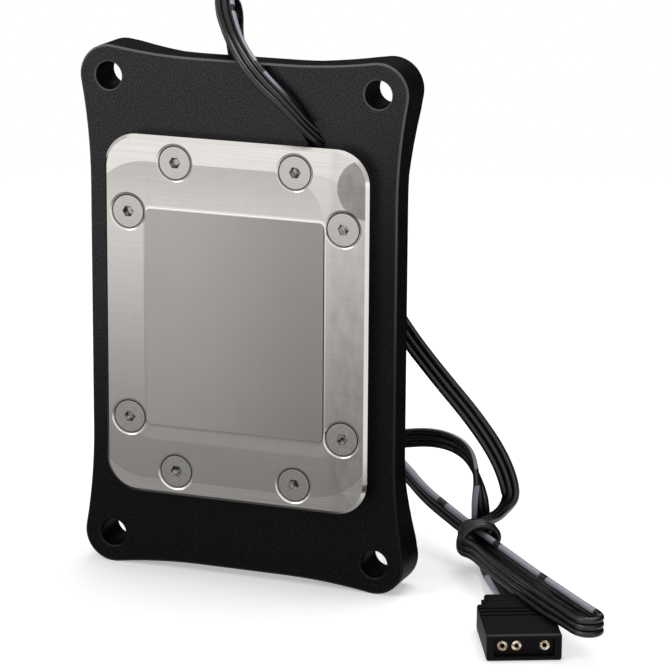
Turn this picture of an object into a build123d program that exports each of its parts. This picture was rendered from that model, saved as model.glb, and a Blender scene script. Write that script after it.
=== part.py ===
"""CPU water block standing on its lower ears, seen from its cold plate side.

X runs across the block, Y from the cold plate back to the ports, and Z up.
The origin is on the floor, under the middle of the block. Millimetres.
"""
import os
from math import cos, hypot, pi, radians, sin, sqrt, tan

from build123d import *

# Mounting frame
hole_span_x = 54.0  # socket bolt pattern, across
hole_span_z = 90.0  # socket bolt pattern, up
hole_d = 5.4
hole_chamfer = 0.25
ear_r = 5.9
side_inset = 1.9  # the straight sides lie this far inside the ears
end_inset = 1.45  # the straight ends lie this far inside the ears
side_flare = 20.9  # length of the concave flare from a side to the ear's middle
end_flare = 18.3  # length of the concave flare from an end to the ear's middle
frame_t = 6.0  # thickness at the waists
ear_rise = 2.8  # how much thicker the ears are, at the back
ear_pad_x = 14.0  # the ears start to thicken this far from the middle, across
ear_pad_z = 29.4  # and this far up and down
ear_ramp_x = 9.8  # they reach their full thickness over this length, across
ear_ramp_z = 12.0  # and over this length, up and down
cover_gap = 0.4  # between the cover and the thick ears
frame_chamfer = 0.4

# Cold plate
plate_land_x = 4.95  # from the side screws to the plate's edge
plate_land_z = 4.9  # from the end screws to the plate's edge
plate_t = 3.5
plate_r = 6.5
plate_chamfer = 0.66
patch_gap = 0.25  # between the contact patch and the side screws' countersinks
patch_h = 42.0
patch_r = 1.0
patch_step = 0.3
fin_field_w = 24.0
fin_field_h = 30.0
fin_t = 0.4
fin_pitch = 0.8
fin_h = 2.5

# Screws that clamp plate, frame and cover together
screw_land_x = 3.65  # from the boss's side to the side screws
screw_land_z = 4.0  # from the boss's end to the end screws
end_screw_x = 12.05
side_screw_z = 20.05
screw_d = 3.0
screw_length = 14.0
head_d = 6.4
head_clearance = 0.2  # round the head at the plate's face, on the radius
head_gap = 0.05  # between the head's cone and its countersink
hex_key = 2.0
hex_depth = 1.1
shank_clearance = 0.2
thread_clearance = 0.05

# Threaded inserts in the cover
insert_wall = 0.8
insert_length = 4.0
insert_lip = 0.3
insert_lip_t = 0.6

# Clear top cover
cover_land_x = 3.85  # from the side screws to the cover's edge
cover_land_z = 4.2  # from the end screws to the cover's edge
cover_t = 16.3
cover_r = 6.5
cover_chamfer = 1.0
boss_r = 5.0
boss_clearance = 0.2
chamber_margin = 2.0  # from the fins to the chamber's side
chamber_end = 9.0  # from a port's centre to the chamber's end
chamber_wall = 4.0
chamber_r = 4.0
chamber_depth = 7.0
port_gap = 26.0  # between the two port centres
port_d = 11.445  # minor diameter of the G1/4 thread
port_depth = 10.0
port_chamfer = 0.8
seat_d = 20.0
seat_depth = 0.5
passage_d = 9.0

# Seal between the boss and the plate
seal_w = 1.8
seal_t = 1.4
seal_inset = 1.1  # from the boss's edge to the seal
seal_clearance = 0.1
seal_bevel = 0.4

# Jet plate and flow insert
jet_overlap = 0.5  # the sheet reaches past the fins by this much
jet_t = 0.5
jet_r = 1.5
slot_margin = 2.0  # from the fins' outer edge to the slot's end
jet_slot_h = 1.6
guide_gap = 3.0  # between the insert and the chamber's sides
guide_lip = 2.0  # round the inlet and below the trough
guide_r = 2.5
trough_w = 10.0
trough_floor = 1.2

# Light board
board_margin = 1.0  # from the cover's edge to the board's edge
board_t = 1.0
board_clearance = 0.2
led_size = 3.5
led_t = 1.0
led_lens_d = 2.8
led_lens_depth = 0.3
led_spacing = 10.0
led_side_count = 3
led_clearance = 0.3
capacitor_l = 1.6
capacitor_w = 0.8
capacitor_gap = 0.7

# Four position connector
shell_wall_x = 1.3
shell_wall_z = 0.8
shell_l = 16.8
shell_round = 0.5
shell_bevel = 0.25  # round the front
front_recess = 1.2  # the carrier's front lies this deep in the shell
carrier_edge = 0.37  # beyond the outer contact positions
carrier_h = 3.3
carrier_clearance = 0.05
carrier_tail = 5.2  # how far the carrier stands out at the rear
carrier_round = 0.3
grip_count = 3
grip_pitch = 1.9
grip_first = 2.3  # from the shell's rear edge
grip_w = 0.7
grip_depth = 0.3
tail_groove_w = 1.0
tail_groove_depth = 0.35
contact_pitch = 2.54
contact_positions = 4
key_position = 2
contact_d = 1.8
contact_bore = 0.9
contact_floor = 1.8
contact_l = 9.0
contact_clearance = 0.05
connector_x = 64.8
connector_y = -33.85
connector_turn = 24.4

# Ribbon cable
wire_d = 1.3
wire_pitch = 1.25
wire_count = 3
ramp_angle = 40.0  # slope of the channel that leads the ribbon out under the plate's edge
ramp_clearance = 0.2
exit_x = 16.0  # where the ribbon passes the plate's upper edge
exit_lean = 35.0  # the ribbon leans this much from upright, towards the left
tail_run = 5.5  # straight stretch behind the connector
bend_share = 0.45  # how much of a run each of its two bends may take
knot_r = 4.5
knot_l = 10.0
knot_bevel = 1.6
knot_x = 41.0
knot_y = 12.5
knot_turn = -42.0  # direction of the tied middle on the floor
lead_route = [
    (10.0, -12.3, 93.6),
    (5.6, -12.2, 97.2),
    (1.8, -11.2, 100.8),
    (-1.8, -7.6, 103.6),
    (-5.6, -1.4, 105.4),
    (-9.0, 4.8, 107.2),
    (-12.0, 11.4, 109.4),
    (-12.4, 17.4, 106.2),
    (-13.0, 18.8, 99.4),
    (-11.2, 19.2, 90.6),
    (-5.4, 19.6, 80.4),
    (4.2, 19.8, 69.2),
    (14.2, 19.2, 57.2),
    (23.2, 17.4, 44.8),
    (31.0, 16.8, 36.4),
    (38.4, 16.2, 29.0),
    (44.0, 15.4, 22.0),
    (46.6, 14.8, 15.6),
    (44.8, 14.2, 10.6),
    (41.4, 13.0, 5.6),
]
left_loop_route = [
    (40.6, 13.0, 5.0),
    (40.4, 14.4, 12.0),
    (39.4, 15.4, 18.0),
    (36.4, 17.0, 22.8),
    (29.4, 18.8, 24.0),
    (20.4, 20.4, 22.0),
    (10.6, 21.2, 20.6),
    (1.4, 26.4, 18.8),
    (1.0, 36.2, 16.4),
    (9.6, 40.6, 13.8),
    (17.8, 34.2, 11.6),
    (24.4, 26.8, 9.6),
    (32.2, 20.0, 8.0),
    (41.0, 12.6, 5.6),
]
right_loop_route = [
    (41.6, 12.8, 5.8),
    (47.4, 5.6, 6.2),
    (56.6, -5.6, 6.6),
    (66.4, -16.8, 7.0),
    (73.4, -24.4, 7.1),
    (77.8, -28.6, 7.1),
    (77.2, -31.6, 7.1),
    (74.2, -32.2, 7.1),
    (70.4, -28.2, 7.1),
    (63.4, -21.0, 7.1),
    (55.2, -11.0, 6.7),
    (46.8, -0.8, 6.2),
    (40.2, 10.5, 5.0),
]
tail_route = [
    (42.0, 10.6, 3.4),
    (45.4, 2.2, 2.4),
]

# Sizes that follow from the ones above, from the fins and ports outwards
jet_slot_w = fin_field_w - 2 * slot_margin
chamber_w = fin_field_w + 2 * chamber_margin
chamber_h = port_gap + 2 * chamber_end
boss_w = chamber_w + 2 * chamber_wall
boss_h = chamber_h + 2 * chamber_wall
side_screw_x = boss_w / 2 + screw_land_x
end_screw_z = boss_h / 2 + screw_land_z
cover_w = 2 * (side_screw_x + cover_land_x)
cover_h = 2 * (end_screw_z + cover_land_z)
plate_w = 2 * (side_screw_x + plate_land_x)
plate_h = 2 * (end_screw_z + plate_land_z)
sink_d = head_d + 2 * head_clearance
patch_w = 2 * (side_screw_x - sink_d / 2 - patch_gap)
shank_hole_d = screw_d + 2 * shank_clearance
insert_d = screw_d + 2 * insert_wall
insert_lip_d = insert_d + 2 * insert_lip
ear_t = frame_t + ear_rise
cover_back = frame_t + cover_t
carrier_w = contact_positions * contact_pitch + 2 * carrier_edge
shell_w = carrier_w + 2 * (carrier_clearance + shell_wall_x)
shell_h = carrier_h + 2 * (carrier_clearance + shell_wall_z)
cable_d = wire_d * sqrt(wire_count)  # a round of the same section as the wires
ribbon_w = wire_d + wire_pitch * (wire_count - 1)

# Places that follow: the block's middle depth is over the origin
face_y = patch_step + plate_t - (patch_step + plate_t + cover_back) / 2  # the frame's front face
mid_z = hole_span_z / 2 + ear_r  # the bolt pattern's middle
bolt_places = [(sx * hole_span_x / 2, sz * hole_span_z / 2) for sx in (-1, 1) for sz in (-1, 1)]
screw_places = [
    (sx * x, sz * z)
    for x, z in ((end_screw_x, end_screw_z), (side_screw_x, side_screw_z))
    for sx in (-1, 1)
    for sz in (-1, 1)
]
port_places = [(0, port_gap / 2), (0, -port_gap / 2)]
contact_row = [(i - (contact_positions - 1) / 2) * contact_pitch for i in range(contact_positions)]


def slab(sketch, front, back):
    """Extrude a front view sketch between two depths behind the frame's front face."""
    plane = Plane(origin=(0, face_y + back, mid_z), x_dir=(1, 0, 0), z_dir=(0, -1, 0))
    return extrude(plane * sketch, amount=back - front)


def holes(places, diameter):
    """Sketch of equal circles at the given places of the front view."""
    return Sketch() + [Pos(x, z) * Circle(diameter / 2) for x, z in places]


def cone(x, z, front_d, back_d, front, back):
    """Cone between two depths, about a place of the front view."""
    plane = Plane(origin=(x, face_y + back, mid_z + z), x_dir=(1, 0, 0), z_dir=(0, -1, 0))
    foot = (Align.CENTER, Align.CENTER, Align.MIN)
    return plane * Cone(back_d / 2, front_d / 2, back - front, align=foot)


def outer_edges(solid, end):
    """Outer edges of the foremost face (end 0) or the rearmost face (end -1)."""
    return solid.faces().sort_by(Axis.Y)[end].outer_wire().edges()


def tangent_point(centre, radius, towards):
    """Point of a circle that faces another centre."""
    away = hypot(towards[0] - centre[0], towards[1] - centre[1])
    return tuple(c + radius * (t - c) / away for c, t in zip(centre, towards))


def arc_between(centre, radius, start, end):
    """Arc about a centre, through the middle of its two ends' directions."""
    middle = ((start[0] + end[0]) / 2, (start[1] + end[1]) / 2)
    return ThreePointArc(start, tangent_point(centre, radius, middle), end)


def flare_radius(inset, length):
    """Radius of the concave arc that touches a straight edge and the ear's round."""
    edge = ear_r - inset
    return (length**2 + edge**2 - ear_r**2) / (2 * inset)


def frame_outline():
    """Straight waists that flare in concave arcs onto four round ears."""
    ear = (hole_span_x / 2, hole_span_z / 2)
    side = ear[0] + ear_r - side_inset
    top = ear[1] + ear_r - end_inset
    side_r = flare_radius(side_inset, side_flare)
    top_r = flare_radius(end_inset, end_flare)
    side_start = (side, ear[1] - side_flare)
    top_start = (ear[0] - end_flare, top)
    side_centre = (side + side_r, side_start[1])
    top_centre = (top_start[0], top + top_r)
    side_touch = tangent_point(ear, ear_r, side_centre)
    top_touch = tangent_point(ear, ear_r, top_centre)
    quarter = make_face(
        [
            Line((0, 0), (side, 0)),
            Line((side, 0), side_start),
            arc_between(side_centre, side_r, side_start, side_touch),
            arc_between(ear, ear_r, side_touch, top_touch),
            arc_between(top_centre, top_r, top_touch, top_start),
            Line(top_start, (0, top)),
            Line((0, top), (0, 0)),
        ]
    )
    half = quarter + mirror(quarter, Plane.YZ)
    return half + mirror(half, Plane.XZ)


def ramp_half_height():
    """Half the height of the sloping channel, measured square to the frame's face."""
    return (cable_d / 2 + ramp_clearance) / cos(radians(ramp_angle))


def cable_ramp():
    """Sloping channel that starts at the light board and runs out on the frame's front face."""
    slope = tan(radians(ramp_angle))
    board_face = frame_t - board_t
    mouth = 2 * ramp_half_height() / slope
    drop = board_face / slope
    corners = [(-drop, board_face), (mouth - drop, board_face), (mouth, 0), (0, 0)]
    lean = radians(exit_lean)
    along = Plane(
        origin=(exit_x, face_y, mid_z + plate_h / 2),
        x_dir=(-sin(lean), 0, cos(lean)),
        z_dir=(-cos(lean), 0, -sin(lean)),
    )
    profile = along * make_face(Polyline(*corners, close=True))
    return extrude(profile, amount=ribbon_w / 2 + ramp_clearance, both=True)


def cover_sketch(grow):
    """Outline of the cover, grown on all sides."""
    return RectangleRounded(cover_w + 2 * grow, cover_h + 2 * grow, cover_r + grow)


def boss_sketch(grow):
    """Outline of the cover's boss, grown on all sides."""
    return RectangleRounded(boss_w + 2 * grow, boss_h + 2 * grow, boss_r + grow)


def ear_slope(side, outward, start, length, width):
    """Wedge that lets the ears of one side thicken gradually, from the start on outwards."""
    corners = [(start, frame_t), (start + length, ear_t), (start, ear_t)]
    x_dir = tuple(side * part for part in outward)
    plane = Plane(origin=(0, face_y, mid_z), x_dir=x_dir, z_dir=Vector(*x_dir).cross(Vector(0, 1, 0)))
    return extrude(plane * make_face(Polyline(*corners, close=True)), amount=width / 2, both=True)


def make_mounting_frame():
    outline = frame_outline()
    frame = slab(outline, 0, ear_t)
    across = outline.bounding_box().size
    waists = Rectangle(2 * ear_pad_x, across.Y) + Rectangle(across.X, 2 * ear_pad_z)
    frame -= slab(waists + cover_sketch(cover_gap), frame_t, ear_t)
    for side in (-1, 1):
        frame -= ear_slope(side, (1, 0, 0), ear_pad_x, ear_ramp_x, across.Y)
        frame -= ear_slope(side, (0, 0, 1), ear_pad_z, ear_ramp_z, across.X)
    frame = chamfer(outer_edges(frame, 0), frame_chamfer)
    frame -= slab(holes(bolt_places, hole_d), 0, ear_t)
    mouth_d = hole_d + 2 * hole_chamfer
    for x, z in bolt_places:
        frame -= cone(x, z, mouth_d, hole_d, 0, hole_chamfer)
        frame -= cone(x, z, hole_d, mouth_d, ear_t - hole_chamfer, ear_t)
    frame -= slab(boss_sketch(boss_clearance), 0, frame_t)
    frame -= slab(cover_sketch(board_clearance - board_margin), frame_t - board_t, frame_t)
    frame -= slab(holes(screw_places, shank_hole_d), 0, frame_t)
    return frame - cable_ramp()


def make_cold_plate():
    plate = slab(RectangleRounded(plate_w, plate_h, plate_r), -plate_t, 0)
    plate = chamfer(outer_edges(plate, 0), plate_chamfer)
    plate += slab(RectangleRounded(patch_w, patch_h, patch_r), -plate_t - patch_step, -plate_t)
    plate -= slab(holes(screw_places, shank_hole_d), -plate_t, 0)
    sink_depth = (sink_d - shank_hole_d) / 2
    for x, z in screw_places:
        plate -= cone(x, z, sink_d, shank_hole_d, -plate_t, -plate_t + sink_depth)
    count = int(fin_field_w / fin_pitch)
    first = -(count - 1) * fin_pitch / 2
    fins = [Pos(first + i * fin_pitch, 0) * Rectangle(fin_t, fin_field_h) for i in range(count)]
    return plate + slab(Sketch() + fins, 0, fin_h)


def make_screws():
    """Countersunk hex socket screws, each seated in its cone a little below the plate's face."""
    top = -plate_t + head_clearance - head_gap
    socket = RegularPolygon(hex_key / 2, 6, major_radius=False)
    screws = []
    for x, z in screw_places:
        screw = cone(x, z, head_d, screw_d, top, top + (head_d - screw_d) / 2)
        screw += slab(Pos(x, z) * Circle(screw_d / 2), top, top + screw_length)
        screws.append(screw - slab(Pos(x, z) * socket, top, top + hex_depth))
    return screws


def make_threaded_inserts():
    back = frame_t + insert_length
    bore = Circle(screw_d / 2 + thread_clearance)
    inserts = []
    for x, z in screw_places:
        insert = slab(Pos(x, z) * Circle(insert_d / 2), frame_t, back)
        insert += slab(Pos(x, z) * Circle(insert_lip_d / 2), frame_t, frame_t + insert_lip_t)
        inserts.append(insert - slab(Pos(x, z) * bore, frame_t, back))
    return inserts


def seal_ring(grow):
    """Racetrack of the seal, grown on both sides for its groove."""
    return boss_sketch(grow - seal_inset) - boss_sketch(-grow - seal_inset - seal_w)


def make_main_seal():
    seal = slab(seal_ring(0), 0, seal_t)
    return chamfer(seal.faces().sort_by(Axis.Y)[-1].edges(), seal_bevel)


def led_places():
    """Emitters in a column on each side of the boss, and one above and below it."""
    side_x = (boss_w + cover_w) / 4
    end_z = (boss_h + cover_h) / 4
    column = [(i - (led_side_count - 1) / 2) * led_spacing for i in range(led_side_count)]
    return [(sx * side_x, z) for sx in (-1, 1) for z in column] + [(0, end_z), (0, -end_z)]


def beside_led(place, offset, size_along, size_across):
    """Rectangle beside an emitter, along the board: upwards on the sides, rightwards at the ends."""
    x, z = place
    if x == 0:
        return Pos(x + offset, z) * Rectangle(size_along, size_across)
    return Pos(x, z + offset) * Rectangle(size_across, size_along)


def make_top_cover():
    cover = slab(cover_sketch(0), frame_t, cover_back)
    cover = chamfer(outer_edges(cover, -1), cover_chamfer)
    cover += slab(boss_sketch(0), 0, frame_t)
    cover -= slab(RectangleRounded(chamber_w, chamber_h, chamber_r), 0, chamber_depth)
    cover -= slab(seal_ring(seal_clearance), 0, seal_t)
    cover -= slab(holes(port_places, passage_d), chamber_depth, cover_back)
    cover -= slab(holes(port_places, port_d), cover_back - port_depth, cover_back)
    seat = cover_back - seat_depth
    cover -= slab(holes(port_places, seat_d), seat, cover_back)
    for x, z in port_places:
        cover -= cone(x, z, port_d, port_d + 2 * port_chamfer, seat - port_chamfer, seat)
    pilot_depth = max(insert_length, screw_length - plate_t - frame_t) + insert_lip_t
    cover -= slab(holes(screw_places, insert_d), frame_t, frame_t + pilot_depth)
    cover -= slab(holes(screw_places, insert_lip_d), frame_t, frame_t + insert_lip_t)
    room = capacitor_gap + capacitor_w
    along = led_size + room + 2 * led_clearance
    across = led_size + 2 * led_clearance
    for place in led_places():
        pocket = beside_led(place, room / 2, along, across)
        cover -= slab(pocket, frame_t, frame_t + led_t + led_clearance)
    return cover


def make_jet_plate():
    width = fin_field_w + 2 * jet_overlap
    height = fin_field_h + 2 * jet_overlap
    sheet = RectangleRounded(width, height, jet_r) - Rectangle(jet_slot_w, jet_slot_h)
    return slab(sheet, fin_h, fin_h + jet_t)


def make_flow_insert():
    """Block from the jet plate to the chamber's roof, with a T shaped trough from inlet to slot."""
    front = fin_h + jet_t
    stem_top = port_gap / 2 + passage_d / 2
    top = stem_top + guide_lip
    bottom = trough_w / 2 + guide_lip
    body = RectangleRounded(chamber_w - 2 * guide_gap, top + bottom, guide_r)
    guide = slab(Pos(0, (top - bottom) / 2) * body, front, chamber_depth)
    trough = Rectangle(jet_slot_w, trough_w) + Pos(0, stem_top / 2) * Rectangle(trough_w, stem_top)
    guide -= slab(trough, front + trough_floor, chamber_depth)
    return guide - slab(Rectangle(jet_slot_w, jet_slot_h), front, chamber_depth)


def make_led_board():
    ring = cover_sketch(-board_margin) - boss_sketch(boss_clearance + board_clearance)
    return slab(ring - holes(screw_places, shank_hole_d), frame_t - board_t, frame_t)


def make_led_chips():
    back = frame_t + led_t
    chips = []
    for x, z in led_places():
        chip = slab(Pos(x, z) * Rectangle(led_size, led_size), frame_t, back)
        lens = Pos(x, z) * Circle(led_lens_d / 2)
        chips.append(chip - slab(lens, back - led_lens_depth, back))
    return chips


def make_led_capacitors():
    offset = led_size / 2 + capacitor_gap + capacitor_w / 2
    sketches = [beside_led(place, offset, capacitor_w, capacitor_l) for place in led_places()]
    return [slab(sketch, frame_t, frame_t + capacitor_w) for sketch in sketches]


def on_connector(solid):
    """Place a piece modelled with its front at the origin, its length along +Y and its foot at Z 0."""
    return Pos(connector_x, connector_y, 0) * Rot(0, 0, connector_turn) * solid


def block(width, length, height, front, foot):
    """Box on the connector's middle, given by its size, its front and its foot."""
    return Pos(0, front, foot) * Box(width, length, height, align=(Align.CENTER, Align.MIN, Align.MIN))


def pin(diameter, length, x):
    """Round bar along +Y from the carrier's front, in the row of contacts."""
    along = Cylinder(diameter / 2, length, align=(Align.CENTER, Align.CENTER, Align.MIN))
    return Pos(x, front_recess, shell_h / 2) * Rot(-90, 0, 0) * along


def make_connector_shell():
    shell = block(shell_w, shell_l, shell_h, 0, 0)
    shell = fillet(shell.edges().filter_by(Axis.Y), shell_round)
    shell = chamfer(outer_edges(shell, 0), shell_bevel)
    width = shell_w - 2 * shell_wall_x
    shell -= block(width, shell_l, shell_h - 2 * shell_wall_z, 0, shell_wall_z)
    for i in range(grip_count):
        back = shell_l - grip_first - i * grip_pitch
        shell -= block(shell_w, grip_w, grip_depth, back - grip_w / 2, shell_h - grip_depth)
    return on_connector(shell)


def make_contact_carrier():
    foot = (shell_h - carrier_h) / 2
    carrier = block(carrier_w, shell_l - front_recess + carrier_tail, carrier_h, front_recess, foot)
    carrier = fillet(carrier.edges().filter_by(Axis.Y), carrier_round)
    groove_y = shell_l + (carrier_tail - tail_groove_w) / 2
    neck_w = carrier_w - 2 * tail_groove_depth
    neck_h = carrier_h - 2 * tail_groove_depth
    neck = block(neck_w, tail_groove_w, neck_h, groove_y, foot + tail_groove_depth)
    carrier -= block(carrier_w, tail_groove_w, carrier_h, groove_y, foot) - neck
    for x in contact_row:
        carrier -= pin(contact_d + 2 * contact_clearance, contact_l, x)
    return on_connector(carrier)


def make_contacts():
    contacts = []
    for i, x in enumerate(contact_row):
        if i != key_position:
            socket = pin(contact_d, contact_l, x) - pin(contact_bore, contact_l - contact_floor, x)
            contacts.append(on_connector(socket))
    return contacts


def make_key_plug():
    return on_connector(pin(contact_d, contact_l, contact_row[key_position]))


def make_knot():
    """Tied middle of the cable, a bevelled roll that lies on the floor."""
    roll = Cylinder(knot_r, knot_l)
    roll = chamfer(roll.edges(), knot_bevel)
    return Pos(knot_x, knot_y, knot_r) * Rot(0, 0, knot_turn) * Rot(0, 90, 0) * roll


def cable_start():
    """Foot of the ribbon in the light board, and a point where it has cleared the plate's edge."""
    lean = radians(exit_lean)
    points = []
    for back in (frame_t, -cable_d):
        run = (ramp_half_height() - back) / tan(radians(ramp_angle))
        edge_z = mid_z + plate_h / 2
        points.append((exit_x - run * sin(lean), face_y + back, edge_z + run * cos(lean)))
    return points


def behind_board_face():
    """Trims the ribbon's foot flush with the front of the light board."""
    return slab(cover_sketch(-board_margin), frame_t - board_t, ear_t)


def cable_end():
    """A point straight behind the carrier, and the middle of its rear face."""
    turn = radians(connector_turn)
    rear = shell_l + carrier_tail
    runs = (rear + tail_run, rear)
    return [(connector_x - run * sin(turn), connector_y + run * cos(turn), shell_h / 2) for run in runs]


def cord(name, route):
    """Plain tube along straight runs and tangent arcs, each arc as large as its runs allow."""
    points = [Vector(*point) for point in route]
    runs = [b - a for a, b in zip(points, points[1:])]
    radii = []
    for before, after in zip(runs, runs[1:]):
        half_turn = radians(before.get_angle(after)) / 2
        radii.append(bend_share * min(before.length, after.length) / tan(half_turn))
    path = FilletPolyline(*points, radius=radii)
    section = Plane(origin=path @ 0, z_dir=path % 0) * Circle(cable_d / 2)
    tube = sweep(section, path=path)
    share = tube.volume / (pi * cable_d**2 / 4 * path.length)
    print(name, "length", round(path.length, 1), "volume share", round(share, 4))
    print(name, "radii", [round(radius, 1) for radius in radii])
    return tube


knot = make_knot()
nodes = {
    "mounting_frame": make_mounting_frame(),
    "cold_plate": make_cold_plate(),
    "base_screws": make_screws(),
    "threaded_inserts": make_threaded_inserts(),
    "top_cover": make_top_cover(),
    "main_seal": make_main_seal(),
    "jet_plate": make_jet_plate(),
    "flow_insert": make_flow_insert(),
    "led_board": make_led_board(),
    "led_chips": make_led_chips(),
    "led_capacitors": make_led_capacitors(),
    "cable_lead": cord("cable_lead", cable_start() + lead_route) - knot - behind_board_face(),
    "cable_left_loop": cord("cable_left_loop", left_loop_route) - knot,
    "cable_right_loop": cord("cable_right_loop", right_loop_route) - knot,
    "cable_tail": cord("cable_tail", tail_route + cable_end()) - knot,
    "cable_knot": knot,
    "connector_shell": make_connector_shell(),
    "contact_carrier": make_contact_carrier(),
    "connector_contacts": make_contacts(),
    "key_plug": make_key_plug(),
}

os.makedirs("parts", exist_ok=True)
for name, piece in nodes.items():
    solids = piece if isinstance(piece, list) else piece.solids()
    export_step(Compound(children=[solid.solid() for solid in solids]), f"parts/{name}.step")
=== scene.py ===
import math

import bmesh
import bpy
from mathutils import Matrix, Vector


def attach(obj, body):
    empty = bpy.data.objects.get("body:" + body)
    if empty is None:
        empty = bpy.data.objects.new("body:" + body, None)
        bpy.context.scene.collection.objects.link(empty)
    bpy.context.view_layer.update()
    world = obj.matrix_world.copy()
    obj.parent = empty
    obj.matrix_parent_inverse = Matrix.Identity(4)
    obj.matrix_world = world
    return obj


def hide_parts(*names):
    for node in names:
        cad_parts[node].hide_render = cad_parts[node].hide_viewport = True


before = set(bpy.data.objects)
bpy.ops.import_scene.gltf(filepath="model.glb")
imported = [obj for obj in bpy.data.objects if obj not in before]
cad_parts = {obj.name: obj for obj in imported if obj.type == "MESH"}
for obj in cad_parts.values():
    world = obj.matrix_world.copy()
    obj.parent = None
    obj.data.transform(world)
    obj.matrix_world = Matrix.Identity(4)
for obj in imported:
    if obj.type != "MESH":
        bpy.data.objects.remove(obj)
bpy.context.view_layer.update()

# Mounting frame.
# A plate of aluminium, milled to its waisted outline, blasted and anodised black. The plate's
# eight screws clamp it against the cover behind. The blasting leaves a fine even grain. A sheen
# towards the upper left is painted into the coat, and the front chamfer is painted lighter as a
# highlight that fades towards the bottom.


class Shade:
    """A socket of one material, on which arithmetic adds Math nodes."""

    def __init__(self, tree, socket):
        self.tree = tree
        self.socket = socket

    def node(self, kind, inputs, output=0, **settings):
        """Adds a node: its settings first, then its values or links."""
        made = self.tree.nodes.new(kind)
        for name, value in settings.items():
            setattr(made, name, value)
        for name, value in inputs.items():
            if isinstance(value, Shade):
                self.tree.links.new(value.socket, made.inputs[name])
            else:
                made.inputs[name].default_value = value
        return Shade(self.tree, made.outputs[output])

    def math(self, operation, *others):
        return self.node("ShaderNodeMath", dict(enumerate((self, *others))), operation=operation)

    def __add__(self, other):
        return self.math("ADD", other)

    def __radd__(self, other):
        return self.math("ADD", other)

    def __sub__(self, other):
        return self.math("SUBTRACT", other)

    def __rsub__(self, other):
        return self.node("ShaderNodeMath", {0: other, 1: self}, operation="SUBTRACT")

    def __mul__(self, other):
        return self.math("MULTIPLY", other)

    def __rmul__(self, other):
        return self.math("MULTIPLY", other)

    def __truediv__(self, other):
        return self.math("DIVIDE", other)


def new_material(name, constants):
    """A material whose shader has these constants, and the object coordinates in it."""
    material = bpy.data.materials.new(name)
    material.use_nodes = True
    tree = material.node_tree
    shader = tree.nodes["Principled BSDF"]
    for socket, value in constants.items():
        shader.inputs[socket].default_value = value
    where = Shade(tree, tree.nodes.new("ShaderNodeTexCoord").outputs["Object"])
    return material, where


def connect(material, links):
    """Links shader inputs of the material to the shades that vary over its surface."""
    shader = material.node_tree.nodes["Principled BSDF"]
    for socket, shade in links.items():
        material.node_tree.links.new(shade.socket, shader.inputs[socket])


def axis(where, letter):
    return where.node("ShaderNodeSeparateXYZ", {"Vector": where}, output=letter)


def stretched(where, sizes):
    """The coordinates in units of these three sizes, in metres."""
    scale = tuple(1 / size for size in sizes)
    return where.node("ShaderNodeVectorMath", {0: where, 1: scale}, operation="MULTIPLY")


def noise(where, sizes, detail=2.0):
    """Noise about 0.5 whose patches have these three sizes, in metres."""
    inputs = {"Vector": stretched(where, sizes), "Scale": 1.0, "Detail": detail}
    return where.node("ShaderNodeTexNoise", inputs, output="Fac")


def fade(shade, low, high):
    """A smooth step from 0 at low to 1 at high."""
    inputs = {"Value": shade, "From Min": low, "From Max": high}
    return shade.node("ShaderNodeMapRange", inputs, interpolation_type="SMOOTHSTEP")


def within(shade, rise, fall):
    """1 between two smooth steps, up over the first pair of values and down over the second."""
    return fade(shade, *rise) * (1 - fade(shade, *fall))


def mix(factor, first, second):
    """The first colour where the factor is 0 and the second where it is 1."""
    inputs = {0: factor, 6: first, 7: second}
    return factor.node("ShaderNodeMix", inputs, output=2, data_type="RGBA")


def bump(height, distance, strength=1.0):
    inputs = {"Height": height, "Distance": distance, "Strength": strength}
    return height.node("ShaderNodeBump", inputs, output="Normal")


def dress(material, *names):
    """Gives CAD nodes this material."""
    for name in names:
        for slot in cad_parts[name].material_slots:
            slot.material = material


frame_front = -0.00925
frame_chamfer = 0.0004
sheen_slant = 0.7
sheen_from = 0.036
sheen_to = 0.080
gloss_settings = {"Specular IOR Level": 0.14, "Coat Roughness": 0.3}
anodised, where = new_material("black_anodised", gloss_settings)
grain = noise(where, (0.00028, 0.00028, 0.00028), 3.0)
speck = fade(noise(where, (0.00032, 0.00032, 0.00032), 2.0), 0.52, 0.70)
cloud = noise(where, (0.02, 0.02, 0.03))
behind_front = axis(where, "Y") - frame_front
bevel = within(behind_front, (0.00001, 0.00004), (frame_chamfer - 0.00004, frame_chamfer))
# The front chamfer is painted lighter as a highlight, strong at the top and faint at the bottom.
edge_highlight = bevel * (0.08 + 0.92 * fade(axis(where, "Z"), 0.03, 0.095))
# A sheen towards the upper left is painted in, as more coat weight there.
painted_sheen = fade(axis(where, "Z") - sheen_slant * axis(where, "X"), sheen_from, sheen_to)
satin = mix(speck, (0.0010, 0.0010, 0.0011, 1), (0.015, 0.015, 0.015, 1))
connect(anodised, {
    "Base Color": mix(edge_highlight, satin, (0.12, 0.113, 0.108, 1)),
    "Roughness": 0.22 + 0.14 * grain + 0.06 * cloud,
    "Coat Weight": painted_sheen * (0.16 + 0.52 * fade(grain, 0.38, 0.62)),
    "Normal": bump(grain, 0.00005, 0.8),
})
dress(anodised, "mounting_frame")

# Cold plate.
# Copper, milled flat in two passes round the raised patch and then nickel plated. The passes
# and the arcs that the cutter left at the corners show as bands of slightly different tone.

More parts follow.
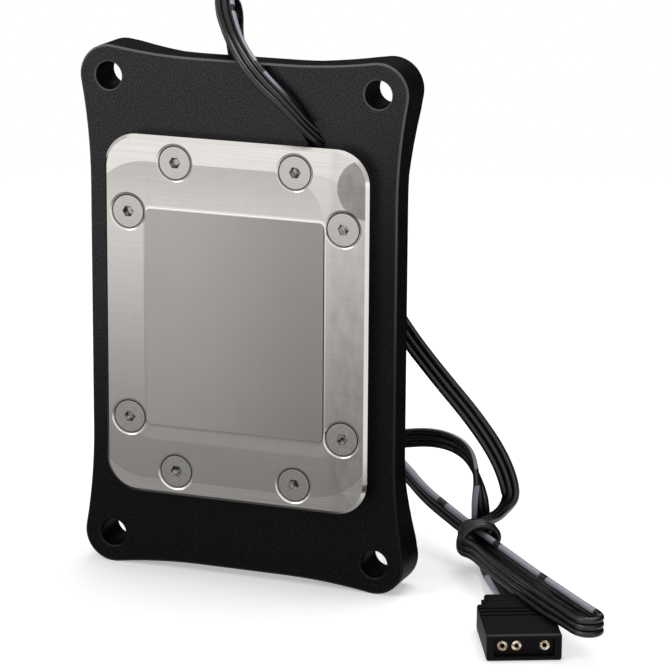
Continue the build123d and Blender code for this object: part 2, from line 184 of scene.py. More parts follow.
middle_z = 0.0509
patch_half_x = 0.0180
patch_half_z = 0.0210
cove = 0.0006
plate_face = -0.01275
end_screw = (0.01205, 0.0300)
side_screw = (0.02165, 0.02005)
sink_radius = 0.0034
sink_bevel = 0.00032
plate_chamfer = 0.00066
outer_pass_middle = (-0.0011, -0.0010)
outer_pass_half = (0.0289, 0.0308)
outer_pass_round = 0.012
right_disc_place = (0.0261, 0.0278)
right_disc_radius = 0.0055
corner_arc_place = (0.0096, 0.0210)
corner_arc_radius = 0.0080
low_disc_place = (0.0308, -0.0249)
low_disc_radius = 0.0101
patch_grey = 0.45
patch_shade_fall = 0.115
inner_grey = 0.60
outer_grey = 0.68
disc_grey = 0.33
chamfer_highlight_grey = 0.8
wall_shade = 0.6
sink_shade = 0.65
nickel_green = 0.96
nickel_blue = 0.915


def distance(first, second):
    """Length of the hypotenuse over two shades."""
    return (first * first + second * second).math("SQRT")


def from_place(across, up, place):
    """Distance in the front view from a place, which is given from the block's middle."""
    return distance(across - place[0], up - place[1])


def outside_round_box(across, up, middle, half, radius):
    """Distance outside a rectangle with round corners in the front view, less than 0 inside."""
    past_side = ((across - middle[0]).math("ABSOLUTE") - (half[0] - radius)).math("MAXIMUM", 0.0)
    past_end = ((up - middle[1]).math("ABSOLUTE") - (half[1] - radius)).math("MAXIMUM", 0.0)
    return distance(past_side, past_end) - radius


def from_screw(across, up):
    """Distance in the front view from the axis of the nearest of the eight screws."""
    beside = across.math("ABSOLUTE")
    above = up.math("ABSOLUTE")
    return from_place(beside, above, end_screw).math("MINIMUM", from_place(beside, above, side_screw))


nickel, where = new_material("nickel", {"Metallic": 1.0})
across = axis(where, "X")
depth = axis(where, "Y")
up = axis(where, "Z") - middle_z
off_patch = outside_round_box(across, up, (0, 0), (patch_half_x, patch_half_z), 0.001)
ring = fade(off_patch, 0.0, 0.00003)

# The outer pass reaches the plate's edge, and its inner border has round corners.
past_border = outside_round_box(across, up, outer_pass_middle, outer_pass_half, outer_pass_round)
outer_pass = fade(past_border, 0, 0.0002)
from_right_disc = from_place(across, up, right_disc_place)
right_disc = 1 - fade(from_right_disc, right_disc_radius, right_disc_radius + 0.0002)
from_corner = from_place(across, up, corner_arc_place)
corner_arc = fade(from_corner, corner_arc_radius, corner_arc_radius + 0.0004)
corner_arc = corner_arc * fade(across, corner_arc_place[0], corner_arc_place[0] + 0.0004)
upper = fade(up, 0.018, 0.031)
lower = 1 - fade(up, -0.024, -0.020)
streak = noise(where, (0.03, 1, 0.00022), 4.0) - 0.5
side_streak = noise(where, (0.0003, 1, 0.02), 3.0) - 0.5
smudge = noise(where, (0.0022, 0.0022, 0.0035), 4.0) - 0.5
right_side = fade(across, 0.0185, 0.0200)
near_foot = 1 - fade(off_patch, 0.0026, 0.0034)
# The inner pass is painted darker towards its upper border as shade, and at the bottom painted
# lighter near the foot of the patch and darker further out.
inner_tone = inner_grey - 0.15 * upper * (1 - corner_arc) + lower * (0.10 * near_foot - 0.05)
outer_tone = outer_grey + 0.18 * streak
ring_tone = inner_tone + outer_pass * (outer_tone - inner_tone)
ring_tone = ring_tone + right_disc * (disc_grey - ring_tone) + 0.10 * streak + 0.06 * side_streak
ring_tone = ring_tone + right_side * (0.22 * smudge - 0.06)
from_low_disc = from_place(across, up, low_disc_place)
low_disc = 1 - fade(from_low_disc, low_disc_radius, low_disc_radius + 0.0003)
ring_tone = ring_tone + 0.06 * low_disc * (1 - fade(up, -0.0245, -0.0230))
patch_lay = noise(where, (0.00025, 1, 0.03), 3.0) - 0.5
patch_cloud = noise(where, (0.012, 0.012, 0.012), 2.0) - 0.5
# The patch is painted darker from left to right, as shade from the light falling off across it.
patch_tone = patch_grey - patch_shade_fall * fade(across, -0.014, 0.018)
patch_tone = patch_tone + 0.03 * patch_lay + 0.03 * patch_cloud

# At the foot of the patch a hairline is painted dark as shade in the crease, but light at the top
# as a highlight, and a highlight line is painted outside it on the top and right.
hairline = within(off_patch, (-0.00006, -0.00002), (0.00008, 0.00012))
highlight_line = within(off_patch, (0.00008, 0.00012), (0.00020, 0.0003))
top_side = fade(up, 0.0195, 0.0205)
lit_side = top_side.math("MAXIMUM", fade(across, 0.0175, 0.0181))
tone = patch_tone + ring * (ring_tone - patch_tone) + 0.20 * highlight_line * lit_side
tone = tone + hairline * (0.50 * top_side - 0.30)
screw_axis = from_screw(across, up)
below_face = fade(depth, plate_face + 0.00003, plate_face + 0.00008)
at_screw = 1 - fade(screw_axis, sink_radius, sink_radius + 0.0001)
on_wall = fade(depth, plate_face + plate_chamfer, plate_face + plate_chamfer + 0.00006)
# Below the face the chamfer is painted lighter as a highlight and the side walls darker as shade.
tone = tone + below_face * (1 - at_screw) * (chamfer_highlight_grey - wall_shade * on_wall - tone)
# The countersinks are painted darker as shade.
tone = tone * (1 - sink_shade * below_face * at_screw)
foot_of_patch = 1 - fade(off_patch, 0.0, cove)
sink_edge = fade(screw_axis, sink_radius, sink_radius + sink_bevel)
nickel_colour = {0: tone, 1: nickel_green * tone, 2: nickel_blue * tone}
connect(nickel, {
    "Base Color": tone.node("ShaderNodeCombineColor", nickel_colour),
    "Roughness": 0.40 - 0.20 * ring + 0.06 * smudge,
    "Normal": bump(foot_of_patch + 1.6 * sink_edge, 0.0001),
})
dress(nickel, "cold_plate")

# Screws.
# Eight countersunk M3 screws with a hex socket, of plated steel. They pull the plate and the
# cover together on the frame.

head_radius = 0.0032
head_face = plate_face + 0.00015
socket_radius = 0.0012
socket_depth = 0.0011
lathe_pitch = 0.00007
head_grey = 0.50
steel_green = 0.965
steel_blue = 0.93
steel, where = new_material("screw_steel", {"Metallic": 1.0})
screw_axis = from_screw(axis(where, "X"), axis(where, "Z") - middle_z)
lathe = (screw_axis / lathe_pitch).math("SINE")
scuff = noise(where, (0.0004, 0.0004, 0.0004), 3.0) - 0.5
# A dark ring is painted at the rim of each head, as shade in the gap to the countersink.
edge = fade(screw_axis, head_radius - 0.00020, head_radius - 0.00008)
# The hex socket is painted darker than the head as shade, darkest on its floor, with painted glints
# on its walls and floor.
down_socket = axis(where, "Y") - head_face
in_socket = fade(down_socket, 0.00002, 0.00006)
in_socket = in_socket * (1 - fade(screw_axis, socket_radius, socket_radius + 0.0001))
on_floor = in_socket * fade(down_socket, socket_depth - 0.0001, socket_depth - 0.00002)
painted_glint = fade(noise(where, (0.0009, 0.0009, 0.0009), 1.0), 0.42, 0.60)
face_tone = (head_grey + 0.02 * lathe + 0.16 * scuff) * (1 - 0.85 * edge)
floor_tone = 0.06 + 0.34 * painted_glint
wall_tone = 0.22 + 0.40 * painted_glint
socket_tone = wall_tone + on_floor * (floor_tone - wall_tone)
steel_tone = face_tone + in_socket * (socket_tone - face_tone)
steel_colour = {0: steel_tone, 1: steel_green * steel_tone, 2: steel_blue * steel_tone}
connect(steel, {
    "Base Color": scuff.node("ShaderNodeCombineColor", steel_colour),
    "Roughness": 0.24 + 0.1 * scuff,
    "Normal": bump(lathe, 0.0000025),
})
dress(steel, "base_screws")

# Threaded inserts.
# Eight turned and knurled brass inserts, pressed into the cover with heat. The screws bite
# into them, since a thread cut in the acrylic would strip.

brass, where = new_material("insert_brass", {"Metallic": 1.0})
turned = noise(where, (0.0004, 0.0001, 0.0004), 2.0)
connect(brass, {
    "Base Color": mix(turned, (0.6, 0.4, 0.16, 1), (0.78, 0.58, 0.28, 1)),
    "Roughness": 0.25 + 0.15 * turned,
})
dress(brass, "threaded_inserts")

# Top cover.
# Clear acrylic, milled and polished, with the two ports and the boss that closes the chamber.
# The ports are tapped G1/4, and their thread is drawn here as a fine relief.

port_up = 0.0130
port_radius = 0.00572
thread_pitch = 0.001337
thread_depth = 0.0003
acrylic, where = new_material("clear_acrylic", {"Transmission Weight": 1.0, "IOR": 1.49})
polish = noise(where, (0.004, 0.004, 0.004), 3.0)
across = axis(where, "X")
up = (axis(where, "Z") - middle_z).math("ABSOLUTE") - port_up
from_port = distance(across, up)
bore_start = (port_radius - 0.0001, port_radius - 0.00005)
bore_end = (port_radius + 0.00005, port_radius + 0.0001)
on_bore = within(from_port, bore_start, bore_end)
turn = up.math("ARCTAN2", across) / math.tau
thread = (axis(where, "Y") / thread_pitch + turn).math("FRACT")
ridge = 2 * (thread - 0.5).math("ABSOLUTE")
connect(acrylic, {
    "Base Color": mix(polish, (0.93, 0.95, 0.96, 1), (0.97, 0.98, 0.98, 1)),
    "Roughness": 0.02 + 0.05 * polish + 0.15 * on_bore,
    "Normal": bump(ridge * on_bore, thread_depth),
})
dress(acrylic, "top_cover")

# Main seal.
# A moulded rubber ring in a groove of the boss, pressed against the plate by the screws. It
# keeps the water in the chamber over the fins.

rubber, where = new_material("seal_rubber", {"Specular IOR Level": 0.35})
bloom = noise(where, (0.003, 0.003, 0.003), 3.0)
connect(rubber, {
    "Base Color": mix(bloom, (0.012, 0.012, 0.012, 1), (0.035, 0.035, 0.036, 1)),
    "Roughness": 0.5 + 0.2 * bloom,
})
dress(rubber, "main_seal")

# Jet plate.
# A thin sheet of rolled steel with one slot, laid on the fins. Through the slot the water
# strikes the middle of the fins and parts to both sides.

sheet_steel, where = new_material("jet_steel", {"Metallic": 1.0})
rolled = noise(where, (0.0002, 0.0002, 0.01), 3.0)
connect(sheet_steel, {
    "Base Color": mix(rolled, (0.5, 0.5, 0.51, 1), (0.68, 0.68, 0.69, 1)),
    "Roughness": 0.25 + 0.15 * rolled,
})
dress(sheet_steel, "jet_plate")

# Flow insert.
# A moulded black plastic guide that leads the water from the inlet into the slot. The boss
# holds it down on the jet plate.

moulded, where = new_material("insert_plastic", {})
spark = noise(where, (0.0003, 0.0003, 0.0003), 3.0)
connect(moulded, {
    "Base Color": mix(spark, (0.02, 0.02, 0.022, 1), (0.05, 0.05, 0.053, 1)),
    "Roughness": 0.45 + 0.15 * spark,
    "Normal": bump(spark, 0.00003, 0.5),
})
dress(moulded, "flow_insert")

# Light board.
# A ring of circuit board with white solder mask, which the cable feeds. It lies in a recess of
# the frame, under the cover's flange.

board, where = new_material("board", {})
mask = noise(where, (0.002, 0.002, 0.002), 3.0)
connect(board, {
    "Base Color": mix(mask, (0.72, 0.72, 0.7, 1), (0.82, 0.82, 0.8, 1)),
    "Roughness": 0.35 + 0.15 * mask,
})
dress(board, "led_board")

# Light emitters.
# Eight square packages of white moulding, soldered to the board. A well in each is filled with
# yellow phosphor.

emitter, where = new_material("led_white", {})
well_floor = -0.00255
mould = noise(where, (0.0006, 0.0006, 0.0006), 2.0)
above_floor = (axis(where, "Y") - well_floor).math("ABSOLUTE")
phosphor = 1 - fade(above_floor, 0.00002, 0.00004)
package = mix(mould, (0.78, 0.77, 0.7, 1), (0.88, 0.87, 0.82, 1))
connect(emitter, {
    "Base Color": mix(phosphor, package, (0.85, 0.66, 0.16, 1)),
    "Roughness": 0.3 + 0.1 * mould,
})
dress(emitter, "led_chips")

# Capacitors.
# One small ceramic block beside each emitter, fired brown, with tinned ends by which it is
# soldered to the board.

ceramic, where = new_material("capacitor", {})
column_x = 0.02175
end_z = 0.0301
tinned_from = 0.00048
fired = noise(where, (0.0003, 0.0003, 0.0003), 2.0)
beside = axis(where, "X").math("ABSOLUTE")
above = (axis(where, "Z") - middle_z).math("ABSOLUTE")
at_side = fade(beside, 0.010, 0.011)
off_column = (beside - column_x).math("ABSOLUTE")
off_end = (above - end_z).math("ABSOLUTE")
off_middle = off_end + at_side * (off_column - off_end)
tinned = fade(off_middle, tinned_from, tinned_from + 0.00004)
brown = mix(fired, (0.3, 0.2, 0.12, 1), (0.5, 0.38, 0.26, 1))
connect(ceramic, {
    "Base Color": mix(tinned, brown, (0.72, 0.72, 0.7, 1)),
    "Roughness": 0.4 + 0.2 * fired - 0.1 * tinned,
    "Metallic": tinned,
})
dress(ceramic, "led_capacitors")

# Ribbon cable.
# Three wires in one extruded black sheath, with grey dashes printed on one edge wire. It leaves
# the board under the plate's upper edge, and its spare length is folded and tied to itself.

wire_radius = 0.00065
wire_pitch = 0.00125
wire_sides = 14
cable_exit = (0.0160, -0.00925, 0.0858)

# Each point of the route and the way that the printed side of the ribbon faces there.
route = [
    ((0.0199, -0.0033, 0.0810), (0.9, -0.4, 0.0)),
    ((0.0147, -0.0112, 0.0884), (0.8, 0.0, 0.4)),
    ((0.0100, -0.0123, 0.0936), (0.9, -0.3, 0.2)),
    ((0.0056, -0.0122, 0.0972), (0.8, -0.6, 0.1)),
    ((0.0018, -0.0112, 0.1008), (0.7, -0.7, 0.2)),
    ((-0.0018, -0.0076, 0.1036), (0.6, -0.6, 0.5)),
    ((-0.0056, -0.0014, 0.1054), (0.4, -0.5, 0.7)),
    ((-0.0090, 0.0048, 0.1072), (0.1, -0.3, 0.9)),
    ((-0.0120, 0.0114, 0.1094), (-0.2, 0.2, 0.9)),
    ((-0.0124, 0.0174, 0.1062), (-0.2, 0.9, 0.4)),
    ((-0.0130, 0.0188, 0.0994), (0.0, 1.0, 0.1)),
    ((-0.0112, 0.0192, 0.0906), (-0.1, 1.0, 0.0)),
    ((-0.0054, 0.0196, 0.0804), (-0.2, 1.0, 0.0)),
    ((0.0042, 0.0198, 0.0692), (-0.2, 1.0, 0.0)),
    ((0.0142, 0.0192, 0.0572), (-0.3, 0.9, -0.2)),
    ((0.0232, 0.0174, 0.0448), (-0.3, 0.9, -0.2)),
    ((0.0310, 0.0168, 0.0364), (-0.3, 0.9, -0.2)),
    ((0.0384, 0.0162, 0.0290), (-0.3, 0.9, -0.2)),
    ((0.0440, 0.0154, 0.0220), (-0.3, 0.9, -0.2)),
    ((0.0466, 0.0148, 0.0156), (-0.1, 0.9, 0.0)),
    ((0.0454, 0.0152, 0.0128), (0.7, 0.6, -0.3)),
    ((0.0432, 0.0158, 0.0100), (0.5, 0.3, -0.8)),
    ((0.0401, 0.0143, 0.0088), (0.1, 0.1, -1.0)),
    ((0.0380, 0.0131, 0.0085), (0.4, 0.3, -0.9)),
    ((0.0371, 0.0124, 0.0061), (0.8, 0.5, 0.0)),
    ((0.0385, 0.0129, 0.0037), (0.4, 0.3, 0.9)),
    ((0.0415, 0.0137, 0.0038), (-0.4, -0.3, 0.9)),
    ((0.0440, 0.0144, 0.0063), (-0.8, -0.5, 0.0)),
    ((0.0435, 0.0135, 0.0087), (-0.6, -0.4, -0.7)),
    ((0.0412, 0.0120, 0.0096), (0.0, 0.0, -1.0)),
    ((0.0389, 0.0106, 0.0088), (0.6, 0.4, -0.7)),
    ((0.0379, 0.0100, 0.0065), (0.8, 0.5, 0.0)),
    ((0.0382, 0.0092, 0.0053), (0.7, 0.6, 0.0)),
    ((0.0412, 0.0074, 0.0056), (0.7, 0.7, 0.0)),
    ((0.0464, -0.0004, 0.0061), (0.7, 0.7, 0.0)),
    ((0.0552, -0.0110, 0.0065), (0.7, 0.7, -0.15)),
    ((0.0634, -0.0210, 0.0068), (0.6, 0.6, -0.3)),
    ((0.0704, -0.0282, 0.0071), (0.7, 0.7, 0.0)),
    ((0.0742, -0.0322, 0.0071), (0.4, 0.9, 0.0)),
    ((0.0772, -0.0316, 0.0071), (-0.7, 0.7, 0.0)),
    ((0.0778, -0.0286, 0.0071), (-0.9, 0.0, 0.0)),
    ((0.0734, -0.0244, 0.0071), (-0.7, -0.7, 0.0)),
    ((0.0664, -0.0168, 0.0070), (-0.7, -0.7, 0.0)),
    ((0.0566, -0.0056, 0.0066), (-0.7, -0.7, 0.0)),
    ((0.0474, 0.0056, 0.0062), (-0.7, -0.7, 0.0)),
    ((0.0416, 0.0128, 0.0058), (-0.7, -0.7, 0.0)),
    ((0.0322, 0.0200, 0.0080), (-0.7, -0.7, 0.0)),
    ((0.0244, 0.0268, 0.0096), (-0.7, -0.7, 0.0)),
    ((0.0178, 0.0342, 0.0116), (-0.6, -0.7, 0.0)),
    ((0.0096, 0.0406, 0.0138), (-0.1, -0.9, 0.0)),
    ((0.0010, 0.0362, 0.0164), (0.8, -0.5, 0.0)),
    ((0.0014, 0.0264, 0.0188), (0.9, 0.5, 0.0)),
    ((0.0106, 0.0212, 0.0206), (0.3, 0.9, 0.0)),
    ((0.0204, 0.0204, 0.0220), (0.0, 1.0, 0.0)),
    ((0.0294, 0.0188, 0.0240), (0.1, 1.0, 0.0)),
    ((0.0364, 0.0170, 0.0228), (0.5, 0.8, 0.0)),
    ((0.0394, 0.0154, 0.0180), (0.9, 0.3, 0.1)),
    ((0.0402, 0.0150, 0.0120), (0.7, -0.7, 0.0)),
    ((0.0397, 0.0168, 0.0080), (0.6, -0.8, 0.1)),
    ((0.0404, 0.0164, 0.0040), (0.5, -0.6, 0.4)),
    ((0.0426, 0.0126, 0.0018), (0.1, -0.1, 1.0)),
    ((0.0447, 0.0080, 0.0015), (0.0, 0.0, 1.0)),
    ((0.0478, 0.0018, 0.0018), (0.0, 0.0, 1.0)),
    ((0.0534, -0.0088, 0.0025), (0.0, 0.0, 1.0)),
    ((0.0557, -0.0138, 0.0025), (0.0, 0.0, 1.0)),
]


def spline_points(name, points):
    """The points along a smooth spline with these control points."""
    curve = bpy.data.curves.new(name, "CURVE")
    curve.dimensions = "3D"
    curve.resolution_u = 12
    spline = curve.splines.new("NURBS")
    spline.points.add(len(points) - 1)
    for point, place in zip(spline.points, points):
        point.co = (*place, 1.0)
    spline.order_u = 3
    spline.use_endpoint_u = True
    holder = bpy.data.objects.new(name, curve)
    mesh = bpy.data.meshes.new_from_object(holder)
    line = [vertex.co.copy() for vertex in mesh.vertices]
    bpy.data.objects.remove(holder)
    bpy.data.curves.remove(curve)
    bpy.data.meshes.remove(mesh)
    return line


def sweep(made, places):
    """Extrudes the edges at the first place from place to place, and gives each place's vertices."""
    ring = list(made.edges)
    rows = []
    bmesh.ops.edgeloop_fill(made, edges=ring)
    for last, place in zip(places, places[1:]):
        step = bmesh.ops.extrude_edge_only(made, edges=ring)["geom"]
        row = [part for part in step if isinstance(part, bmesh.types.BMVert)]
        ring = [part for part in step if isinstance(part, bmesh.types.BMEdge)]
        bmesh.ops.transform(made, matrix=place @ last.inverted(), verts=row)
        rows.append(row)
    bmesh.ops.edgeloop_fill(made, edges=ring)
    bmesh.ops.recalc_face_normals(made, faces=made.faces)
    return rows


# The printed edge runs beside the middle line, square to the way of travel and to the facing.
middle_route = [Vector(place) for place, facing in route]
print_route = []
for number, (place, facing) in enumerate(route):
    before = middle_route[max(number - 1, 0)]
    after = middle_route[min(number + 1, len(route) - 1)]
    sideways = (after - before).cross(Vector(facing)).normalized()
    print_route.append(Vector(place) + sideways * wire_pitch)
middle_line = spline_points("middle_line", middle_route)
print_line = spline_points("print_line", print_route)

places = []
for number, centre in enumerate(middle_line):
    before = middle_line[max(number - 1, 0)]
    after = middle_line[min(number + 1, len(middle_line) - 1)]
    travel = (after - before).normalized()
    sideways = print_line[number] - centre
    sideways = (sideways - travel * sideways.dot(travel)).normalized()
    facing = sideways.cross(travel)
    turn = Matrix((sideways, facing, travel)).transposed().to_4x4()
    places.append(Matrix.Translation(centre) @ turn)

ribbon = bmesh.new()
along_layer = ribbon.verts.layers.float.new("along")
print_layer = ribbon.verts.layers.float.new("print_side")
for offset in (-wire_pitch, 0.0, wire_pitch):
    first = bmesh.ops.create_circle(ribbon, segments=wire_sides, radius=wire_radius)
    for vertex in first["verts"]:
        towards_print = (vertex.co.x + vertex.co.y) / (wire_radius * math.sqrt(2))
        vertex[print_layer] = towards_print if offset > 0 else -1.0
    shifted = places[0] @ Matrix.Translation((offset, 0, 0))
    bmesh.ops.transform(ribbon, matrix=shifted, verts=first["verts"])
gone = 0.0
rows = sweep(ribbon, places)
for last, place, row in zip(places, places[1:], rows):
    gone += (place.translation - last.translation).length
    for vertex in row:
        vertex[along_layer] = gone
for face in ribbon.faces:
    face.smooth = True
ribbon_mesh = bpy.data.meshes.new("ribbon_cable")
ribbon.to_mesh(ribbon_mesh)
ribbon.free()
ribbon_cable = bpy.data.objects.new("ribbon_cable", ribbon_mesh)
bpy.context.collection.objects.link(ribbon_cable)

# The print is left out where the ribbon leaves the slot and where it is tied, up to the far bend.
first_dash = 0.0032
hidden_slips = [(0.190, 0.0070), (0.370, 0.0026)]
bare_slot = 0.018
bare_stretches = [(0.183, 0.270), (0.4365, 0.457)]
dash_period = 0.0228
dash_gap = 0.0030
sheath, where = new_material("cable_black", {"Specular IOR Level": 0.5})
along = where.node("ShaderNodeAttribute", {}, output="Fac", attribute_name="along")
print_side = where.node("ShaderNodeAttribute", {}, output="Fac", attribute_name="print_side")
printed_length = along - first_dash
for place, slip in hidden_slips:
    printed_length = printed_length + slip * fade(along, place, place + 0.001)
in_dash = (printed_length / dash_period).math("FRACT") * dash_period
bare = 1 - fade(along, bare_slot, bare_slot + 0.006)
for start, end in bare_stretches:
    bare = bare + within(along, (start, start + 0.001), (end - 0.001, end))
printed = fade(print_side, 0.35, 0.45) * (1 - bare)
dash = fade(in_dash, dash_gap - 0.0002, dash_gap) * printed
drawn = noise(where, (0.0008, 0.0008, 0.0008), 2.0)
black = mix(drawn, (0.0025, 0.0025, 0.003, 1), (0.005, 0.005, 0.006, 1))
connect(sheath, {
    "Base Color": mix(dash, black, (0.33, 0.33, 0.39, 1)),
    "Roughness": 0.26 + 0.1 * drawn + 0.1 * dash,
})
ribbon_mesh.materials.append(sheath)
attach(ribbon_cable, "root")
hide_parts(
    "cable_lead", "cable_left_loop", "cable_right_loop", "cable_tail", "cable_knot"
)

# Channel packing.
# A strip of black foam rubber in the frame's channel, which beds the ribbon against the wall
# where it comes out above the plate.

packing_width = 0.00115
packing_thick = 0.0010
channel_half_width = 0.0021
channel_mouth = 0.0041
channel_slope = math.tan(math.radians(40.0))
channel_lean = math.radians(35.0)
packing_sunk = 0.00003
across_channel = Vector((math.cos(channel_lean), 0, math.sin(channel_lean)))
up_channel = Vector((-math.sin(channel_lean), 0, math.cos(channel_lean)))
into_channel = Vector((0, 1, 0)) - up_channel / channel_slope
sides = (across_channel * packing_width, up_channel * channel_mouth, into_channel * packing_thick)
corner = Vector(cable_exit) + across_channel * (channel_half_width - packing_width)
corner = corner + into_channel * packing_sunk
packing_frame = Matrix(sides).transposed().to_4x4()
packing_frame = Matrix.Translation(corner) @ packing_frame @ Matrix.Translation((0.5, 0.5, 0.5))
packing = bmesh.new()
bmesh.ops.create_cube(packing, size=1.0, matrix=packing_frame)
bmesh.ops.bevel(
    packing,
    geom=packing.edges[:],
    offset=0.00005,
    segments=2,
    profile=0.5,
    affect="EDGES",
    material=-1,
)
bmesh.ops.recalc_face_normals(packing, faces=packing.faces)
packing_mesh = bpy.data.meshes.new("channel_packing")
packing.to_mesh(packing_mesh)
packing.free()
packing_mesh.materials.append(rubber)
channel_packing = bpy.data.objects.new("channel_packing", packing_mesh)
bpy.context.collection.objects.link(channel_packing)
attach(channel_packing, "root")

# Connector.
# A four position plug of black moulded nylon: an outer sleeve with grip ribs, and the carrier
# of the contacts inside it, whose third place is closed by a blank.

nylon, where = new_material("connector_black", {"Specular IOR Level": 0.10})
moulding = noise(where, (0.0004, 0.0004, 0.0004), 3.0)
plug_turn = math.radians(24.4)
plug_place = (0.0648, -0.03385)
plug_top = 0.0050
along_plug = (axis(where, "Y") - plug_place[1]) * math.cos(plug_turn)
along_plug = along_plug - (axis(where, "X") - plug_place[0]) * math.sin(plug_turn)
# A line along the top of the front rim is painted lighter as a highlight.
rim_highlight = 1 - fade(along_plug, 0.00022, 0.00030)
rim_highlight = rim_highlight * fade(axis(where, "Z"), plug_top - 0.0004, plug_top - 0.0002)
black = mix(moulding, (0.0015, 0.0015, 0.0017, 1), (0.004, 0.004, 0.0044, 1))
connect(nylon, {
    "Base Color": mix(rim_highlight, black, (0.05, 0.05, 0.052, 1)),
    "Roughness": 0.46 + 0.16 * moulding,
    "Normal": bump(moulding, 0.00002, 0.4),
})
dress(nylon, "connector_shell", "contact_carrier", "key_plug")

# Connector collar.
# A moulded collar with two grip grooves, pushed over the rear of the carrier, where it holds the
# ribbon in line with the contacts.

collar_half_width = 0.0049
collar_foot = 0.0003
collar_start = 0.0169
collar_end = 0.0229
collar_round = 0.0005
groove_runs = (0.0189, 0.0209)
groove_half = 0.0003
groove_slope = 0.0001
groove_scale = 0.93
collar_half_height = (plug_top - collar_foot) / 2
stations = [(collar_start, 1.0)]
for run in groove_runs:
    stations.append((run - groove_half - groove_slope, 1.0))
    stations.append((run - groove_half, groove_scale))
    stations.append((run + groove_half, groove_scale))
    stations.append((run + groove_half + groove_slope, 1.0))
stations.append((collar_end - collar_round, 1.0))
stations.append((collar_end, groove_scale))
plug_frame = Matrix.Translation((*plug_place, collar_foot + collar_half_height))
plug_frame = plug_frame @ Matrix.Rotation(plug_turn, 4, "Z")
upright = Matrix.Rotation(math.radians(90), 4, "X")
places = [
    plug_frame @ Matrix.Translation((0, run, 0)) @ upright @ Matrix.Diagonal((scale, scale, 1, 1))
    for run, scale in stations
]
collar = bmesh.new()
bmesh.ops.create_grid(collar, x_segments=1, y_segments=1, size=1.0)
bmesh.ops.scale(collar, vec=(collar_half_width, collar_half_height, 1), verts=collar.verts)
bmesh.ops.bevel(
    collar,
    geom=collar.verts[:],
    offset=collar_round,
    segments=4,
    profile=0.5,
    affect="VERTICES",
    material=-1,
)
bmesh.ops.delete(collar, geom=collar.faces[:], context="FACES_ONLY")
bmesh.ops.transform(collar, matrix=places[0], verts=collar.verts)
sweep(collar, places)
collar_mesh = bpy.data.meshes.new("connector_collar")
collar.to_mesh(collar_mesh)
collar.free()
collar_mesh.materials.append(nylon)
connector_collar = bpy.data.objects.new("connector_collar", collar_mesh)
bpy.context.collection.objects.link(connector_collar)
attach(connector_collar, "root")

# Contacts.
# Three rolled socket contacts of bronze with a gold flash, with dark glints painted on it as
# reflections. They are held in the carrier by their tangs.

gold, where = new_material("contact_gold", {"Metallic": 1.0})
flash = noise(where, (0.0003, 0.0003, 0.0003), 2.0)
# Dark glints are painted at random on the gold, as reflections.
painted_dark_glint = fade(noise(where, (0.0006, 0.0006, 0.0006), 1.0), 0.42, 0.58)
plated = mix(flash, (0.88, 0.77, 0.58, 1), (0.98, 0.93, 0.80, 1))
connect(gold, {
    "Base Color": mix(painted_dark_glint, plated, (0.30, 0.22, 0.13, 1)),
    "Roughness": 0.34 + 0.16 * flash,
})
dress(gold, "connector_contacts")

# Floor, light and camera.
# A white paper sweep under a broad soft light from above and a weaker one from the front left.
# The camera stands where the photograph was taken from.


def grey(level):
    """The neutral colour of this brightness."""
    return level.node("ShaderNodeCombineColor", {0: level, 1: level, 2: level})


floor_half = 4.0
floor_lift = 0.40
white_from = 0.12
white_to = 0.40
near_glow = 0.47
front_glow = 0.78
right_glow = 0.6
behind_share = 0.03
floor_mesh = bpy.data.meshes.new("floor")
floor_made = bmesh.new()
bmesh.ops.create_grid(floor_made, x_segments=1, y_segments=1, size=floor_half)
floor_made.to_mesh(floor_mesh)
floor_made.free()
floor = bpy.data.objects.new("floor", floor_mesh)
bpy.context.collection.objects.link(floor)
paper, where = new_material("paper", {"Roughness": 0.9, "Specular IOR Level": 0.1})
fibre = noise(where, (0.03, 0.03, 0.03), 3.0)
connect(paper, {"Base Color": mix(fibre, (0.82, 0.82, 0.82, 1), (0.84, 0.84, 0.84, 1))})
tree = paper.node_tree
diffuse = Shade(tree, tree.nodes["Principled BSDF"].outputs[0])
seen = where.node("ShaderNodeLightPath", {}, output="Is Camera Ray")
lift = where.node("ShaderNodeEmission", {"Color": grey(floor_lift * seen), "Strength": 1.0})
lifted = diffuse.node("ShaderNodeAddShader", {0: diffuse, 1: lift})
far = fade(distance(axis(where, "X"), axis(where, "Y")), white_from, white_to) * seen
white = where.node("ShaderNodeEmission", {"Color": (1, 1, 1, 1), "Strength": 1.0})
lifted = diffuse.node("ShaderNodeMixShader", {0: far, 1: lifted, 2: white})

# In mirrors the sweep is bright far in front and to the left, and dim close to the block and behind.
mirrored = where.node("ShaderNodeLightPath", {}, output="Is Glossy Ray")
in_front = fade(0 - axis(where, "Y"), 0.09, 0.37)
to_left = 1 - fade(axis(where, "X"), -0.16, 0.02)
not_behind = behind_share + (1 - behind_share) * fade(0 - axis(where, "Y"), -0.03, 0.015)
to_right = fade(axis(where, "X"), 0.03, 0.06)
glow = (near_glow + front_glow * in_front) * (0.72 + 0.28 * to_left)
glow = (glow + right_glow * to_right) * not_behind
graded = where.node("ShaderNodeEmission", {"Color": grey(glow), "Strength": 1.0})
floor_look = lifted.node("ShaderNodeMixShader", {0: mirrored, 1: lifted, 2: graded})
tree.links.new(floor_look.socket, tree.nodes["Material Output"].inputs["Surface"])
floor_mesh.materials.append(paper)

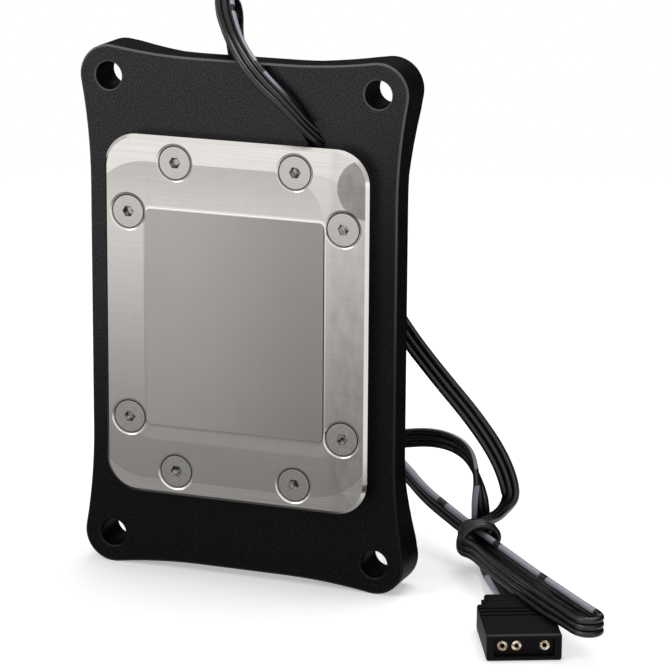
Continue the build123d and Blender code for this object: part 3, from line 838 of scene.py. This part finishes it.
sky_level = 0.45
dark_level = 0.02
wall_level = 1.3
ceiling_level = 0.9
left_wall_level = 0.6
world = bpy.data.worlds.new("studio")
bpy.context.scene.world = world
world.use_nodes = True
sky = Shade(world.node_tree, world.node_tree.nodes["Background"].outputs[0])
seen = sky.node("ShaderNodeLightPath", {}, output="Is Camera Ray")
mirrored = sky.node("ShaderNodeLightPath", {}, output="Is Glossy Ray")
through = sky.node("ShaderNodeLightPath", {}, output="Is Transmission Ray")
towards = sky.node("ShaderNodeTexCoord", {}, output="Generated")
wall = fade(0 - axis(towards, "Y"), 0.2, 0.6)
ceiling = fade(axis(towards, "Z"), 0.55, 0.8)
left_wall = fade(0 - axis(towards, "X"), 0.5, 0.8)
studio = (wall_level * wall).math("MAXIMUM", ceiling_level * ceiling)
studio = dark_level + studio.math("MAXIMUM", left_wall_level * left_wall)
shown = seen.math("MAXIMUM", through)
strength = sky_level + (1 - sky_level) * shown + mirrored * (studio - sky_level)
backdrop = sky.node("ShaderNodeBackground", {"Color": grey(strength), "Strength": 1.0})
world.node_tree.links.new(backdrop.socket, world.node_tree.nodes["World Output"].inputs["Surface"])


def soft_light(name, place, aim, size, watts):
    light = bpy.data.lights.new(name, "AREA")
    light.shape = "DISK"
    light.size = size
    light.energy = watts
    lamp = bpy.data.objects.new(name, light)
    lamp.location = place
    lamp.rotation_euler = (Vector(aim) - Vector(place)).to_track_quat("-Z", "Y").to_euler()
    bpy.context.collection.objects.link(lamp)


soft_light("top_light", (0.1, 0.3, 1.1), (0, 0, 0.05), 0.9, 6.5)
soft_light("front_light", (-0.8, -0.8, 0.9), (0, 0, 0.05), 0.8, 4.5)

camera_place = (0.22975, -0.56760, 0.20184)
camera_heading = math.radians(20.667)
camera_down = math.radians(14.294)
camera_roll = math.radians(0.394)
camera_data = bpy.data.cameras.new("camera")
camera_data.sensor_width = 36.0
camera_data.lens = 176.71
camera_data.clip_start = 0.01
camera = bpy.data.objects.new("camera", camera_data)
heading = Matrix.Rotation(camera_heading, 4, "Z")
tilt = Matrix.Rotation(math.radians(90) - camera_down, 4, "X")
roll = Matrix.Rotation(camera_roll, 4, "Z")
camera.matrix_world = Matrix.Translation(camera_place) @ heading @ tilt @ roll
bpy.context.collection.objects.link(camera)
bpy.context.scene.camera = camera
bpy.context.scene.view_settings.view_transform = "Standard"
